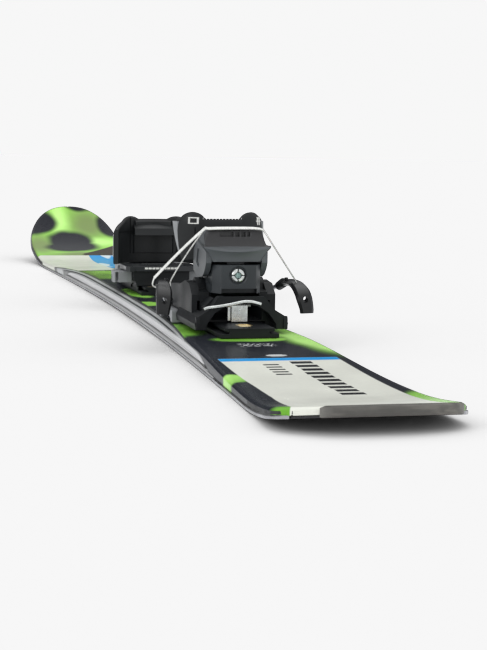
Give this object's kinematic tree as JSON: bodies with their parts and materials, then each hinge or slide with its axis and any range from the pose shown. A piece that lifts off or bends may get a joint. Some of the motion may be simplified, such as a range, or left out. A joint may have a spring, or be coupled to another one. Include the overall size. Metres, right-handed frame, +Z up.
{
  "type": "alpine ski with binding",
  "caption": "Single junior all-mountain alpine ski with a step-in binding on sliding tracks, ski brake and an elastic band holding the brake up.",
  "frame": {"origin": "half the ski's length, on the surface that the base rests on", "axes": "+Y towards the ski's tip, +X to the right seen from the tail, +Z up"},
  "size_m": [0.114, 1.289, 0.0961],
  "materials": {
    "base_black": "sintered polyethylene, satin black",
    "edge_steel": "ground steel edge",
    "laminate": "glass-fibre laminate",
    "wood": "glued wood strips",
    "sidewall_grey": "milled grey sidewall",
    "spacer_black": "black filler",
    "topsheet_print": "gloss printed sheet: lime, black, off-white, blue",
    "protector_grey": "moulded, satin",
    "moulded_black": "moulded, satin",
    "moulded_grey": "moulded, satin",
    "lever_grey": "moulded, fine grain",
    "zinc": "bright zinc plate",
    "gold_zinc": "yellow zinc plate",
    "spring_steel": "drawn wire",
    "low_friction": "smooth moulded sole plate",
    "band_white": "translucent elastic"
  },
  "bodies": {
    "ski": {"base_sheet": "base_black", "edge_left": "edge_steel", "edge_right": "edge_steel", "lower_laminate": "laminate", "wood_core": "wood", "sidewall_left": "sidewall_grey", "sidewall_right": "sidewall_grey", "tail_spacer": "spacer_black", "tip_spacer": "spacer_black", "upper_laminate": "laminate", "topsheet": "topsheet_print", "tail_protector": "protector_grey", "heel_track": "moulded_black", "toe_track": "moulded_black", "heel_track_screw_1": "gold_zinc", "heel_track_screw_2": "gold_zinc", "heel_track_screw_3": "gold_zinc", "toe_track_screw_1": "gold_zinc", "toe_track_screw_2": "gold_zinc", "toe_track_screw_3": "gold_zinc", "toe_track_screw_4": "gold_zinc"},
    "heel_carriage": {"heel_base": "moulded_black", "brake_bracket": "moulded_grey", "heel_pivot_pin": "spring_steel", "heel_lock_spring": "zinc", "retaining_band": "band_white"},
    "heel_lock": {"heel_lock_tongue": "zinc"},
    "heel": {"heel_housing": "moulded_black", "heel_cup": "moulded_black", "heel_spring": "spring_steel", "heel_piston": "zinc", "lever_pin": "spring_steel"},
    "lever": {"heel_lever": "lever_grey"},
    "heel_screw": {"heel_adjusting_screw": "zinc"},
    "heel_nut": {"heel_preload_nut": "gold_zinc"},
    "brake": {"brake_arm_left": "spring_steel", "brake_arm_right": "spring_steel", "brake_paddle_left": "moulded_black", "brake_paddle_right": "moulded_black", "brake_pedal": "moulded_black"},
    "toe_carriage": {"toe_base": "moulded_black", "toe_foot_left": "moulded_grey", "toe_foot_right": "moulded_grey", "toe_sole_plate": "low_friction", "toe_pivot_post": "spring_steel"},
    "toe": {"toe_housing": "moulded_black", "toe_cup": "moulded_black", "toe_spring": "spring_steel", "toe_piston": "zinc"},
    "toe_screw": {"toe_adjusting_screw": "zinc"},
    "toe_nut": {"toe_preload_nut": "gold_zinc"}
  },
  "joints": [
    {"name": "heel_slide", "type": "slide", "parent": "ski", "child": "heel_carriage", "axis": [0, 1, 0], "range_m": [-0.008, 0.016]},
    {"name": "heel_lock_lift", "type": "hinge", "parent": "heel_carriage", "child": "heel_lock", "pos_m": [0, -0.3232, 0.033], "axis": [-1, 0, 0], "range_deg": [0, 18], "stiffness_Nm_per_rad": 0.02, "springref_deg": -5.73},
    {"name": "heel_tilt", "type": "hinge", "parent": "heel_carriage", "child": "heel", "pos_m": [0, -0.29, 0.044], "axis": [1, 0, 0], "range_deg": [0, 30]},
    {"name": "lever_swing", "type": "hinge", "parent": "heel", "child": "lever", "pos_m": [0, -0.308, 0.0665], "axis": [1, 0, 0], "range_deg": [0, 10]},
    {"name": "heel_screw_turn", "type": "hinge", "parent": "heel", "child": "heel_screw", "pos_m": [0, -0.321, 0.054], "axis": [0, -1, 0], "range_deg": [-720, 720]},
    {"name": "heel_nut_slide", "type": "slide", "parent": "heel", "child": "heel_nut", "axis": [0, -1, 0], "range_m": [-0.0025, 0.0025], "deforming": ["heel_spring"]},
    {"name": "brake_swing", "type": "hinge", "parent": "heel_carriage", "child": "brake", "pos_m": [0, -0.236, 0.028], "axis": [1, 0, 0], "range_deg": [0, 62], "stiffness_Nm_per_rad": 0.5, "springref_deg": -2.86, "deforming": ["retaining_band"]},
    {"name": "toe_slide", "type": "slide", "parent": "ski", "child": "toe_carriage", "axis": [0, 1, 0], "range_m": [-0.01, 0.01]},
    {"name": "toe_swivel", "type": "hinge", "parent": "toe_carriage", "child": "toe", "pos_m": [0, 0.04, 0.038], "axis": [0, 0, 1], "range_deg": [-25, 25], "stiffness_Nm_per_rad": 1},
    {"name": "toe_screw_turn", "type": "hinge", "parent": "toe", "child": "toe_screw", "pos_m": [0, 0.0733, 0.058], "axis": [0, 1, 0], "range_deg": [-720, 720]},
    {"name": "toe_nut_slide", "type": "slide", "parent": "toe", "child": "toe_nut", "axis": [0, 1, 0], "range_m": [-0.0025, 0.0025], "deforming": ["toe_spring"]}
  ],
  "couplings": [
    {"joint": "heel_screw_turn", "follows": "heel_nut_slide", "rad_per_m": 5026.5},
    {"joint": "toe_screw_turn", "follows": "toe_nut_slide", "rad_per_m": 5026.5}
  ]
}
